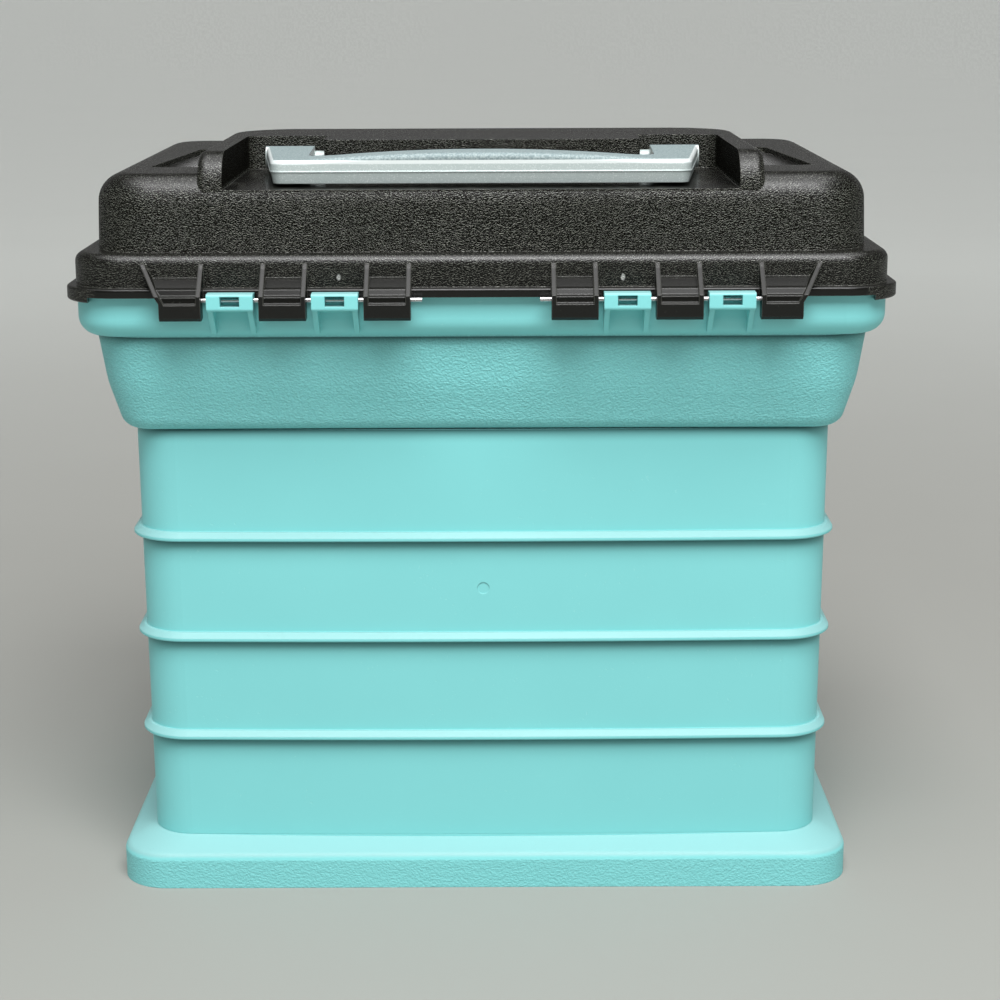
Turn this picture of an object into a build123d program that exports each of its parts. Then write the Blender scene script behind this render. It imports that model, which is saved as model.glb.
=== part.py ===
"""Craft organizer rack: a tub with a hinged lid over a four-tier rack of compartment boxes.

Millimetres. +Z is up and the boxes slide out towards -Y. The origin is the middle of the plinth, on the floor.
The rest pose is the rack in use: lid shut but unlatched, boxes in, front door folded down.
"""

import math
import os

from build123d import *

# Compartment boxes and the rails that carry them.
TIERS = 4
BOX_W = 279.0
BOX_D = 184.0
BOX_H = 44.5
BOX_R = 9.0
BOX_WALL = 1.8
BOX_FRONT_Y = -BOX_D / 2 - 1.0
BOX_SEAT_GAP = 0.2
BOX_SIDE_GAP = 0.8
BOX_BACK_GAP = 0.4
TIER_PITCH = BOX_H + 3.3
FIRST_RAIL_Z = 25.5
RAIL_T = 2.0
RAIL_W = 29.0
RAIL_GUIDE_T = 2.0
RAIL_GUIDE_H = 6.0
RAIL_FRONT_GAP = 0.8
BOX_FOOT_R = 2.5
COVER_EDGE_R = 1.2
COVER_SKIRT_H = 6.5
COVER_SKIRT_T = 2.1
COVER_GAP = 0.3
ROWS = 3
ROW_WALL = 1.6
ROW_WALL_H = 37.0
SLOT_COUNT = 5
SLOT_GAP = 1.8
SLOT_RIB_T = 1.2
SLOT_RIB_OUT = 1.4
SLOT_RIB_H = 34.0
DIVIDER_T = 1.4
DIVIDER_H = 35.0
DIVIDER_GAP = 0.2
DIVIDER_CORNER = 3.0

# Housing, outside sizes. Every level is as much shorter than it is wide, and each follows the one below.
PLAN_DIFF = BOX_W - BOX_D + 19.0
WALL = 2.5
SINK = 0.5
RACK_BOTTOM_W = BOX_W + 36.0
RACK_TOP_W = RACK_BOTTOM_W + 2.6
RACK_R = 20.0
RACK_FLOOR_Z = FIRST_RAIL_Z - 3.5
RACK_FOOT_Z = 5.0
BACK_CROWN = 2.5
PLINTH_W = RACK_BOTTOM_W + 28.0
PLINTH_EDGE_Z = 16.0
PLINTH_R = 22.0
PLINTH_EDGE_ROUND = 4.0
FOOT_RIB = 2.5
RIB_OUT = 3.75
RIB_H = 4.0
RIB_SLOPE = 2.4
RIB_EDGE = 0.5
GATE_MARK_R = 2.7
GATE_MARK_DEPTH = 0.3
GATE_MARK_Z = 143.0

# The tub's flared side has a waist, steeper above it than below.
TUB_FLOOR_Z = FIRST_RAIL_Z + TIERS * TIER_PITCH + 0.8
TUB_BOTTOM_W = RACK_TOP_W + 8.0
TUB_WAIST_W = TUB_BOTTOM_W + 14.0
TUB_TOP_W = TUB_WAIST_W + 7.2
TUB_WAIST_Z = TUB_FLOOR_Z + 21.8
TUB_WAIST_ROUND = 50.0
TUB_FLOOR_ROUND = 8.0
TUB_R = 14.0
RIM_W = TUB_TOP_W + 12.5
RIM_R = 20.0
RIM_BOTTOM_Z = TUB_FLOOR_Z + 44.5
RIM_TOP_Z = RIM_BOTTOM_Z + 21.0
RIM_ROUND = 8.5

# Snap latches on the compartment boxes.
SNAP_X = 85.0
SNAP_W = 30.0
SNAP_T = 2.0
SNAP_LENGTH = 22.0
SNAP_BARREL_R = 2.0
SNAP_PIVOT_DROP = 4.2
SNAP_PIVOT_OUT = 2.6
SNAP_PIN_R = 1.2
SNAP_EAR_T = 2.2
SNAP_NOSE = 1.9
SNAP_NOSE_H = 2.4
SNAP_NOSE_TIP = 1.0
SNAP_BACK_GAP = 0.4
SNAP_SIDE_GAP = 0.4
SNAP_TAB_OUT = 2.0
SNAP_TAB_DROP = 1.0
SNAP_TAB_TOP = 0.6
SNAP_TAB_ROOT = 3.0
CATCH_SIDE_SHY = 2.0
CATCH_H = 3.0
CATCH_GAP = 0.6
CATCH_SHY = 0.5

# Front opening, door and its hinge.
OPENING_W = BOX_W + 7.0
DOOR_W = OPENING_W + 6.0
DOOR_T = 2.5
DOOR_R = 6.0
DOOR_ROUND = 1.8
DOOR_SKIRT = 5.5
DOOR_SEAT_GAP = 0.5
DOOR_TOP_GAP = 4.5
DOOR_AXIS_Z = 17.0
DOOR_AXIS_IN = 1.0
DOOR_BARREL_R = 4.0
DOOR_BARREL_GAP = 0.5
DOOR_HINGE_X = 101.0
DOOR_BARREL_W = 9.0
DOOR_EAR_T = 4.0
DOOR_PIN_R = 1.5
WELL_FLOOR_Z = 12.0
WELL_SIDE_GAP = 2.0
DOOR_STOP_GAP = 0.3

# Sliding bolts on the door.
BOLT_X = 85.0
BOLT_W = 12.0
BOLT_LENGTH = 26.0
BOLT_T = 2.2
BOLT_TRAVEL = 7.0
BOLT_GAP = 0.3
BOLT_NOSE = 1.5
BOLT_GRIPS = 3
BOLT_GRIP_H = 2.0
BOLT_GRIP_PITCH = 3.5
BOLT_GRIP_R = 0.8
GUIDE_T = 2.4
GUIDE_LIP = 1.6
GUIDE_TOP_GAP = 3.0
KEEPER_GAP = 2.5
KEEPER_H = 9.5
KEEPER_WALL = 2.2

# Lid.
LIP_W = RIM_W + 8.7
LIP_R = 24.0
LIP_BOTTOM_Z = RIM_TOP_Z - 4.8
LIP_BACK_BOTTOM_Z = RIM_TOP_Z - 2.3
LIP_BACK_CUT_X = LIP_W / 2 - 12.2
LIP_TOP_Z = RIM_TOP_Z + 1.6
LIP_ROUND = 1.2
LID_SEAT_GAP = 0.3
LID_SIDE_GAP = 0.4
BAND_W = RIM_W + 1.1
BAND_R = 22.0
BAND_TOP_Z = RIM_TOP_Z + 16.0
BAND_ROUND = 4.5
DOME_W = LIP_W - 25.0
DOME_TAPER = 2.0
DOME_R = 25.0
DOME_ROUND = 13.0
PLATEAU_Z = RIM_TOP_Z + 49.5
DECK_Z = PLATEAU_Z + 9.5
DECK_W = DOME_W - 95.0
DECK_FRONT_Y = -50.0
DECK_BACK_Y = (DOME_W - PLAN_DIFF) / 2 - 2.0
DECK_R = 32.0
DECK_ROUND = 3.5
DECK_NOSE_R = 15.0
POCKET_DEPTH = 2.5
POCKET_IN_X = DECK_W / 2 + 2.5
POCKET_BACK = (DOME_W / 2 - 20.5, 69.0)
POCKET_FRONT = (DOME_W / 2 - 29.5, -40.0)
POCKET_R = 4.0

# Lid hinge: lugs on the lid and knuckles on the housing take turns along one wire on each side.
HINGE_OUT = 5.5
HINGE_Z = RIM_TOP_Z - 2.5
HINGE_PITCH = 22.6
FIRST_LUG_X = 40.5
LUG_W = 20.2
LUG_WEB = 2.0
LUG_OUT = 4.5
LUG_HEEL_R = 8.6
LUG_RISE = 14.5
LUG_FLARE = 8.0
LUG_HEEL_IN = 2.2
LUG_BACK = 3.3
LUG_EDGE = 1.4
LUG_WEB_UP = 2.2
LUG_WEB_TOP_OUT = 1.6
# A lug's stepped plate: how far in from its front and up from the wire, then out from its root and up.
LUG_STEPS = [(0.0, -1.6), (1.2, -1.0), (1.8, 1.6), (3.4, 2.2), (4.4, 4.6), (6.4, 5.2)]
LUG_ROOT_STEPS = [(3.4, 8.0), (0.0, 9.0)]
KNUCKLE_W = 20.2
KNUCKLE_UP = 3.1
KNUCKLE_DOWN = 4.4
KNUCKLE_HALF = 4.0
KNUCKLE_ROUND = 1.2
KNUCKLE_SHELF_DROP = 1.0
KNUCKLE_LEG_T = 2.4
KNUCKLE_LEG_DROP = 16.0
KNUCKLE_LEG_FOOT = 2.2
KNUCKLE_SIDE_SHY = 0.2
KNUCKLE_SLOT_W = 8.4
KNUCKLE_SLOT_UP = 2.0
KNUCKLE_SLOT_DOWN = 2.4
KNUCKLE_SLOT_BACK = 1.6
WIRE_R = 1.0
WIRE_GAP = 0.05
WIRE_END_X = 25.5
WIRE_OUTER_X = 139.0

# Carry handle and the recess that it lies in.
HANDLE_AXIS_Y = DECK_BACK_Y - 94.2
HANDLE_T = 10.5
HANDLE_LIFT = 1.6
HANDLE_PIVOT_W = DECK_W - 42.0
HANDLE_GRIP_W = HANDLE_PIVOT_W - 21.0
HANDLE_REACH = 84.0
ARM_W = 22.5
GRIP_END_D = 13.0
GRIP_MID_D = 22.0
GRIP_CROWN = 3.0
HANDLE_CORNER_R = 5.5
ARM_LEAN = 3.0
PIVOT_END_GAP = 1.0
HANDLE_INNER_R = 14.0
HANDLE_ROUND = 2.4
HANDLE_DRAFT = 12.0
HANDLE_BLEND = 20.0
HANDLE_SEAM_H = 0.5
HANDLE_SEAM_OUT = 0.25
PIVOT_R = 3.0
PIVOT_GAP = 0.1
RECESS_W = HANDLE_PIVOT_W + 20.0
RECESS_FRONT_Y = HANDLE_AXIS_Y - 14.3
RECESS_Z = DECK_Z - 16.0
RECESS_R = 6.0
BOSS_W = HANDLE_PIVOT_W - 2 * ARM_W - 12.0
BOSS_BACK_Y = HANDLE_AXIS_Y + 14.7
BOSS_ROUND = 2.5

# Lid latches, hung on the front rim.
LATCH_X = 85.0
LATCH_W = 36.0
LATCH_T = 2.5
LATCH_PIVOT_OUT = 2.5
LATCH_PIVOT_Z = RIM_TOP_Z - 14.0
LATCH_BARREL_R = 3.0
LATCH_PIN_R = 1.25
NARROW_GAP = 0.01
LATCH_FACE_GAP = 0.5
LATCH_HOOK_GAP = 0.3
LATCH_HOOK_H = 3.2
LATCH_TAIL = 5.0
LATCH_HOOK_SLOPE = 1.2
LATCH_HOOK_ROOT = 1.5
LATCH_TAIL_T = 2.5
LATCH_TAIL_EDGE = 1.0
LATCH_EAR_T = 2.8
EAR_GAP = 0.6
EAR_WALL = 0.2
EAR_RISE = 6.5
EAR_DROP = 2.8
EAR_NOSE = 0.6


def block(x0, x1, y0, y1, z0, z1):
    """A box between two corners."""
    return Pos((x0 + x1) / 2, (y0 + y1) / 2, (z0 + z1) / 2) * Box(abs(x1 - x0), abs(y1 - y0), abs(z1 - z0))


def slab(width, radius, z0, z1, taper=0.0):
    """A level of the body: a rounded rectangle in plan, between two heights."""
    outline = Plane.XY.offset(z0) * RectangleRounded(width, width - PLAN_DIFF, radius)
    return extrude(outline, z1 - z0, taper=taper)


def crowned_face(width, radius, z):
    """A rounded rectangle whose long sides swell by BACK_CROWN and short sides by a third of it."""
    x = width / 2
    y = (width - PLAN_DIFF) / 2
    side = BACK_CROWN / 3
    corners = [(-x, -y), (x, -y), (x, y), (-x, y)]
    middles = [(0, -y - BACK_CROWN), (x + side, 0), (0, y + BACK_CROWN), (-x - side, 0)]
    ends = corners[1:] + corners[:1]
    face = make_face([ThreePointArc(a, m, b) for a, m, b in zip(corners, middles, ends)])
    return Plane.XY.offset(z) * fillet(face.vertices(), radius)


def side_prism(points, x0, x1):
    """An outline in (y, z), extruded between two x."""
    return extrude(Plane.YZ.offset(x0) * make_face(Polyline(*points, close=True)), x1 - x0)


def rod(x0, x1, y, z, radius):
    """A round bar along X."""
    return Plane.YZ.offset(x0) * Pos(y, z, (x1 - x0) / 2) * Cylinder(radius, x1 - x0)


def top_edges(solid):
    return solid.edges().group_by(Axis.Z)[-1]


def bottom_edges(solid):
    return solid.edges().group_by(Axis.Z)[0]


def half_depth(width):
    return (width - PLAN_DIFF) / 2


def rail_z(tier):
    return FIRST_RAIL_Z + tier * TIER_PITCH


# Places that several pieces share.
LIP_Y = half_depth(LIP_W)
HINGE_Y = LIP_Y + HINGE_OUT
LUG_XS = [FIRST_LUG_X, FIRST_LUG_X + 2 * HINGE_PITCH, FIRST_LUG_X + 4 * HINGE_PITCH]
KNUCKLE_XS = [FIRST_LUG_X + HINGE_PITCH, FIRST_LUG_X + 3 * HINGE_PITCH]
RACK_FRONT_Y = -half_depth(RACK_TOP_W)
DOOR_BACK_Y = RACK_FRONT_Y - DOOR_SEAT_GAP
DOOR_FACE_Y = DOOR_BACK_Y - DOOR_SKIRT
DOOR_AXIS_Y = DOOR_FACE_Y + DOOR_AXIS_IN
DOOR_TOP_Z = TUB_FLOOR_Z - DOOR_TOP_GAP
DOOR_FOOT = DOOR_BARREL_R + DOOR_BARREL_GAP
STOP_Z = DOOR_AXIS_Z - DOOR_AXIS_IN - DOOR_STOP_GAP
LATCH_PIVOT_Y = -LIP_Y - LATCH_PIVOT_OUT
HANDLE_BOTTOM_Z = RECESS_Z + HANDLE_LIFT
HANDLE_AXIS_Z = HANDLE_BOTTOM_Z + HANDLE_T / 2
BOX_Y = BOX_FRONT_Y + BOX_D / 2


def tub_solid(inset):
    """The flared tub as a solid, inset evenly from its outside: it leans out less above its waist."""
    low_z = TUB_FLOOR_Z + inset
    low_angle = math.degrees(math.atan2((TUB_WAIST_W - TUB_BOTTOM_W) / 2, TUB_WAIST_Z - TUB_FLOOR_Z))
    high_angle = math.degrees(math.atan2((TUB_TOP_W - TUB_WAIST_W) / 2, RIM_BOTTOM_Z - TUB_WAIST_Z))
    low_w = TUB_BOTTOM_W + 2 * inset * (math.tan(math.radians(low_angle)) - 1)
    radius = TUB_R - inset
    lower = slab(low_w, radius, low_z, TUB_WAIST_Z, taper=-low_angle)
    upper_r = radius + (TUB_WAIST_W - 2 * inset - low_w) / 2
    upper = slab(TUB_WAIST_W - 2 * inset, upper_r, TUB_WAIST_Z, RIM_BOTTOM_Z + 2 * WALL, taper=-high_angle)
    body = lower + upper
    waist = body.edges().filter_by_position(Axis.Z, TUB_WAIST_Z - NARROW_GAP, TUB_WAIST_Z + NARROW_GAP)
    body = fillet(waist, TUB_WAIST_ROUND)
    return fillet(bottom_edges(body), TUB_FLOOR_ROUND - inset)


def plinth():
    """The wider foot of the housing, with a sloping top."""
    body = slab(PLINTH_W, PLINTH_R, 0, PLINTH_EDGE_Z)
    shoulder = Plane.XY.offset(PLINTH_EDGE_Z) * RectangleRounded(PLINTH_W, PLINTH_W - PLAN_DIFF, PLINTH_R)
    foot = Plane.XY.offset(RACK_FLOOR_Z) * RectangleRounded(RACK_BOTTOM_W, RACK_BOTTOM_W - PLAN_DIFF, RACK_R)
    body += loft([shoulder, foot], ruled=True)
    edge = body.edges().filter_by_position(Axis.Z, PLINTH_EDGE_Z - NARROW_GAP, PLINTH_EDGE_Z + NARROW_GAP)
    return fillet(edge, PLINTH_EDGE_ROUND)


def plinth_hollow():
    """The open underside of the plinth, with a cross of foot ribs left standing."""
    outer_top = PLINTH_EDGE_Z - WALL
    inner_w = RACK_BOTTOM_W - 2 * WALL
    hollow = slab(PLINTH_W - 2 * WALL, PLINTH_R - WALL, -1, outer_top)
    hollow += slab(inner_w, RACK_R - WALL, -1, RACK_FLOOR_Z - WALL)
    far = PLINTH_W
    hollow -= block(-FOOT_RIB / 2, FOOT_RIB / 2, -far, far, -2, RACK_FLOOR_Z)
    hollow -= block(-far, far, -FOOT_RIB / 2, FOOT_RIB / 2, -2, RACK_FLOOR_Z)
    well_x = DOOR_W / 2 + WELL_SIDE_GAP + WALL
    hollow -= block(-well_x, well_x, -far, RACK_FRONT_Y + WALL, WELL_FLOOR_Z - WALL, RACK_FLOOR_Z)
    return hollow


def rack_ribs():
    """The ribs round the outside, level with the rails inside: sloped on top, flat below."""
    ribs = []
    for tier in range(1, TIERS):
        middle = rail_z(tier) - RAIL_T / 2
        width = RACK_BOTTOM_W + (RACK_TOP_W - RACK_BOTTOM_W) * middle / TUB_FLOOR_Z + 2 * RIB_OUT
        rib = extrude(crowned_face(width, RACK_R + RIB_OUT, middle - RIB_H / 2), RIB_H)
        rib = chamfer(top_edges(rib), RIB_SLOPE)
        rib = chamfer(bottom_edges(rib), RIB_EDGE)
        door_room = DOOR_W / 2 + WELL_SIDE_GAP
        ribs.append(rib - block(-door_room, door_room, -RIM_W, RACK_FRONT_Y + WALL, 0, RIM_TOP_Z))
    return ribs


def rails(rack_outside):
    """The rails, side guides and back stops of every tier, joined to the walls."""
    pieces = []
    inner = BOX_W / 2 + BOX_SIDE_GAP
    rail_in = RACK_BOTTOM_W / 2 - RAIL_W
    front = RACK_FRONT_Y + WALL
    back = half_depth(RACK_BOTTOM_W) - WALL / 2
    stop = BOX_FRONT_Y + BOX_D + BOX_BACK_GAP
    for tier in range(TIERS):
        z = rail_z(tier)
        bottom = z - RAIL_T if tier else RACK_FLOOR_Z
        for side in (-1, 1):
            pieces.append(block(side * rail_in, side * RACK_TOP_W / 2, front, back, bottom, z))
            guide = side * (inner + RAIL_GUIDE_T)
            low, high = z - SINK, z + RAIL_GUIDE_H
            pieces.append(block(side * inner, guide, front + RAIL_FRONT_GAP, back, low, high))
            pieces.append(block(side * rail_in, guide, stop, back, z - SINK, z + RAIL_GUIDE_H))
    whole = pieces[0].fuse(*pieces[1:])
    return whole & rack_outside


def knuckle(x):
    """A housing knuckle: a block round the wire on two legs, with a window that shows the wire."""
    wall_y = half_depth(RIM_W) - WALL / 2
    back = HINGE_Y - KNUCKLE_HALF
    front = HINGE_Y + KNUCKLE_HALF
    low = HINGE_Z - KNUCKLE_DOWN
    half = KNUCKLE_W / 2
    head = block(x - half, x + half, back, front, low, HINGE_Z + KNUCKLE_UP)
    head = fillet(head.edges().filter_by(Axis.X), KNUCKLE_ROUND)

    shelf_z = HINGE_Z - KNUCKLE_SHELF_DROP
    inside_y = back + KNUCKLE_ROUND
    foot_z = HINGE_Z - KNUCKLE_LEG_DROP
    leg = [(wall_y, shelf_z), (inside_y, shelf_z), (front - KNUCKLE_ROUND / 2, low + KNUCKLE_ROUND)]
    leg += [(front - 2 * KNUCKLE_ROUND, low - KNUCKLE_ROUND)]
    leg += [(wall_y + KNUCKLE_LEG_FOOT, foot_z), (wall_y, foot_z)]
    legs = []
    for side in (-1, 1):
        edge = x + side * (half - KNUCKLE_SIDE_SHY)
        x0, x1 = sorted((edge, edge - side * KNUCKLE_LEG_T))
        legs.append(side_prism(leg, x0, x1))
    shelf = [(wall_y, shelf_z), (inside_y, shelf_z), (inside_y, low), (wall_y, low - KNUCKLE_ROUND)]
    shelf_half = half - 2 * KNUCKLE_SIDE_SHY
    body = head + legs + side_prism(shelf, x - shelf_half, x + shelf_half)

    window_half = KNUCKLE_SLOT_W / 2
    window = block(
        x - window_half,
        x + window_half,
        HINGE_Y - KNUCKLE_SLOT_BACK,
        front + 1,
        HINGE_Z - KNUCKLE_SLOT_DOWN,
        HINGE_Z + KNUCKLE_SLOT_UP,
    )
    bore = rod(x - KNUCKLE_W, x + KNUCKLE_W, HINGE_Y, HINGE_Z, WIRE_R + WIRE_GAP)
    return body - window - bore


def latch_ears():
    """The ears on the front rim that carry the lid latches."""
    wall_y = -half_depth(RIM_W) + WALL / 2
    y = LATCH_PIVOT_Y
    z = LATCH_PIVOT_Z
    radius = LATCH_BARREL_R + EAR_WALL
    outline = [(wall_y, z - EAR_DROP), (wall_y, z + EAR_RISE)]
    outline += [(y - EAR_NOSE, z + radius), (y - EAR_NOSE, z - radius)]
    ears = []
    for centre in (-LATCH_X, LATCH_X):
        for side in (-1, 1):
            near = centre + side * (LATCH_W / 2 + EAR_GAP)
            x0, x1 = sorted((near, near + side * LATCH_EAR_T))
            ear = side_prism(outline, x0, x1) + rod(x0, x1, y, z, radius)
            ears.append(ear - rod(x0 - 1, x1 + 1, y, z, LATCH_PIN_R))
    return ears


def door_ears():
    """The ears in the door well that carry the door's hinge pins."""
    y = DOOR_AXIS_Y
    z = DOOR_AXIS_Z
    r = DOOR_BARREL_R
    ears = []
    for centre in (-DOOR_HINGE_X, DOOR_HINGE_X):
        for side in (-1, 1):
            near = centre + side * (DOOR_BARREL_W / 2 + DOOR_BARREL_GAP)
            x0, x1 = sorted((near, near + side * DOOR_EAR_T))
            ear = rod(x0, x1, y, z, r) + block(x0, x1, y - r, y + r, WELL_FLOOR_Z - WALL / 2, z)
            ears.append(ear - rod(x0 - 1, x1 + 1, y, z, DOOR_PIN_R))
    return ears


def bolt_keepers():
    """The sockets under the tub's front edge that the door bolts slide up into."""
    keepers = []
    out_y = DOOR_FACE_Y - BOLT_GAP - BOLT_T
    bottom = DOOR_TOP_Z + KEEPER_GAP
    for centre in (-BOLT_X, BOLT_X):
        half = BOLT_W / 2 + BOLT_GAP
        shell = block(
            centre - half - KEEPER_WALL,
            centre + half + KEEPER_WALL,
            out_y - BOLT_GAP - KEEPER_WALL,
            RACK_FRONT_Y - 1.0,
            bottom,
            bottom + KEEPER_H,
        )
        slot_back = out_y - BOLT_GAP
        slot = block(centre - half, centre + half, slot_back, DOOR_FACE_Y, bottom - 1, bottom + KEEPER_H + 1)
        keepers.append(shell - slot)
    return keepers


def rack_outside():
    """The outside of the rack's walls, down into the plinth and up into the tub's floor."""
    foot = crowned_face(RACK_BOTTOM_W, RACK_R, RACK_FOOT_Z)
    head = crowned_face(RACK_TOP_W, RACK_R, TUB_FLOOR_Z + WALL / 2)
    return loft([foot, head], ruled=True)


def housing_plinth():
    """The plinth with the rack's floor, the door's well and the ears of its hinge."""
    stub = rack_outside() & block(-RIM_W, RIM_W, -RIM_W, RIM_W, 0, RACK_FLOOR_Z)
    body = plinth() + stub - plinth_hollow()
    well_x = DOOR_W / 2 + WELL_SIDE_GAP
    lip_y = -half_depth(PLINTH_W) + WALL
    body -= block(-well_x, well_x, lip_y, RACK_FRONT_Y, WELL_FLOOR_Z, RACK_FLOOR_Z + 1)
    body -= block(-well_x, well_x, -RIM_W, RACK_FRONT_Y, STOP_Z, RACK_FLOOR_Z + 1)
    return body + door_ears()


def housing_rack():
    """The rack's three walls and the jambs of its opening, with the ribs outside and the rails inside."""
    outside = rack_outside()
    inner = RACK_BOTTOM_W - 2 * WALL
    cavity_bottom = crowned_face(inner, RACK_R - WALL, RACK_FOOT_Z)
    cavity_top = crowned_face(RACK_TOP_W - 2 * WALL, RACK_R - WALL, TUB_FLOOR_Z + WALL / 2)
    body = outside + rack_ribs() - loft([cavity_bottom, cavity_top], ruled=True)
    body -= block(-OPENING_W / 2, OPENING_W / 2, -RIM_W, RACK_FRONT_Y + 2 * WALL, 0, RIM_TOP_Z)
    body += rails(outside)
    body &= block(-RIM_W, RIM_W, -RIM_W, RIM_W, RACK_FLOOR_Z, TUB_FLOOR_Z)
    mark_y = half_depth(RACK_BOTTOM_W) + BACK_CROWN - GATE_MARK_DEPTH
    wall_lean = (RACK_TOP_W - RACK_BOTTOM_W) / 2 * GATE_MARK_Z / TUB_FLOOR_Z
    mark = Plane.XZ.offset(-mark_y - wall_lean) * Pos(0, GATE_MARK_Z) * Circle(GATE_MARK_R)
    return body - extrude(mark, -WALL)


def housing_tub():
    """The bulk tub with its rim, the lid's knuckles, the latch ears and the door's keepers."""
    rim = slab(RIM_W, RIM_R, RIM_BOTTOM_Z, RIM_TOP_Z)
    rim = fillet(bottom_edges(rim), RIM_ROUND)
    body = tub_solid(0) + rim + bolt_keepers()
    rim_inside = slab(RIM_W - 2 * WALL, RIM_R - WALL, RIM_BOTTOM_Z + WALL, RIM_TOP_Z + 1)
    body -= fillet(bottom_edges(rim_inside), RIM_ROUND - WALL)
    body -= tub_solid(WALL)
    knuckles = [knuckle(side * x) for side in (-1, 1) for x in KNUCKLE_XS]
    return body + knuckles + latch_ears()


def lug(x, side):
    """A lid lug: two side webs, a stepped plate between them and a heel block round the wire."""
    y = HINGE_Y
    z = HINGE_Z
    root = half_depth(BAND_W) - WALL / 2
    half = LUG_W / 2
    outermost = math.isclose(x, LUG_XS[-1])
    flare = LUG_FLARE if outermost else 0.0
    heel_in = LUG_HEEL_IN if outermost else 0.0
    out = y + LUG_OUT
    low = z - LUG_HEEL_R
    heel_in_z = z - math.sqrt(LUG_HEEL_R**2 - LUG_BACK**2)
    root_z = RIM_TOP_Z + 2 * LID_SEAT_GAP
    inner = [(root, root_z), (LIP_Y - 2, root_z), (LIP_Y - 2, LIP_BACK_BOTTOM_Z), (y - LUG_BACK, z - SINK)]
    inner += [(y - LUG_BACK, heel_in_z), (y, low), (out - LUG_EDGE, low), (out, low + LUG_EDGE)]
    web = inner + [(out, z + LUG_WEB_UP), (root + LUG_WEB_TOP_OUT, z + LUG_RISE), (root, z + LUG_RISE)]
    plate = inner + [(out - step_in, z + up) for step_in, up in LUG_STEPS]
    plate += [(root + step_out, z + up) for step_out, up in LUG_ROOT_STEPS]

    def front_outline(inner_x, outer_low, outer_high):
        points = [(inner_x, low - 1), (outer_low, low - 1), (outer_low, z - 1)]
        points += [(outer_high, z + LUG_RISE + 1), (inner_x, z + LUG_RISE + 1)]
        mirrored = [(side * px, pz) for px, pz in points]
        face = Plane.XZ.offset(-root + 1) * make_face(Polyline(*mirrored, close=True))
        return extrude(face, -(out - root + 3))

    x0, x1 = sorted((side * (x - half - 2), side * (x + half + flare + 2)))
    whole_front = front_outline(x - half, x + half - heel_in, x + half + flare)
    gap_outer = x + half - LUG_WEB
    gap_front = front_outline(x - half + LUG_WEB, gap_outer - heel_in, gap_outer + flare)
    webs = (side_prism(web, x0, x1) & whole_front) - gap_front
    body = webs + (side_prism(plate, x0, x1) & whole_front)
    return body - rod(x0, x1, y, z, WIRE_R + WIRE_GAP)


def pocket(side):
    """The sunken panel at one end of the lid."""
    back_x, back_y = POCKET_BACK
    front_x, front_y = POCKET_FRONT
    corners = [(POCKET_IN_X, back_y), (back_x, back_y), (front_x, front_y), (POCKET_IN_X, front_y)]
    face = make_face(Polyline(*[(side * x, y) for x, y in corners], close=True))
    face = fillet(face.vertices(), POCKET_R)
    return extrude(Plane.XY.offset(PLATEAU_Z - POCKET_DEPTH) * face, DECK_Z)


def recess_block(grow):
    """The space of the handle recess, around the boss. A positive grow gives it a wall."""
    half = RECESS_W / 2 + grow
    front = RECESS_FRONT_Y - grow
    back = LIP_Y + 5
    middle = (front + back) / 2
    outline = Pos(0, middle) * Rectangle(2 * half, back - front)
    room = extrude(Plane.XY.offset(RECESS_Z - grow) * outline, DECK_Z)
    room = fillet(room.edges().filter_by(Axis.Z).group_by(Axis.Y)[0], RECESS_R)
    boss_half = BOSS_W / 2 - grow
    boss = block(-boss_half, boss_half, front - 10, BOSS_BACK_Y - grow, RECESS_Z - grow - 1, DECK_Z + 1)
    boss = fillet(boss.edges().filter_by(Axis.Z), BOSS_ROUND)
    return room - boss


def deck(inset):
    """The raised middle of the lid. Its side rails end over the hinges in rounded noses."""
    half = DECK_W / 2 - inset
    front = DECK_FRONT_Y + inset
    back = DECK_BACK_Y - inset
    outline = Pos(0, (front + back) / 2) * Rectangle(2 * half, back - front)
    body = extrude(Plane.XY.offset(BAND_TOP_Z + WALL) * outline, DECK_Z - inset - BAND_TOP_Z - WALL)
    body = fillet(body.edges().filter_by(Axis.Z).group_by(Axis.Y)[0], DECK_R - inset)
    body = fillet(top_edges(body).group_by(Axis.Y)[-1], DECK_NOSE_R - inset)
    # the front edge takes the smooth chain with it: both corners, both sides and the noses
    return fillet(top_edges(body).group_by(Axis.Y)[0], DECK_ROUND - inset)


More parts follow.
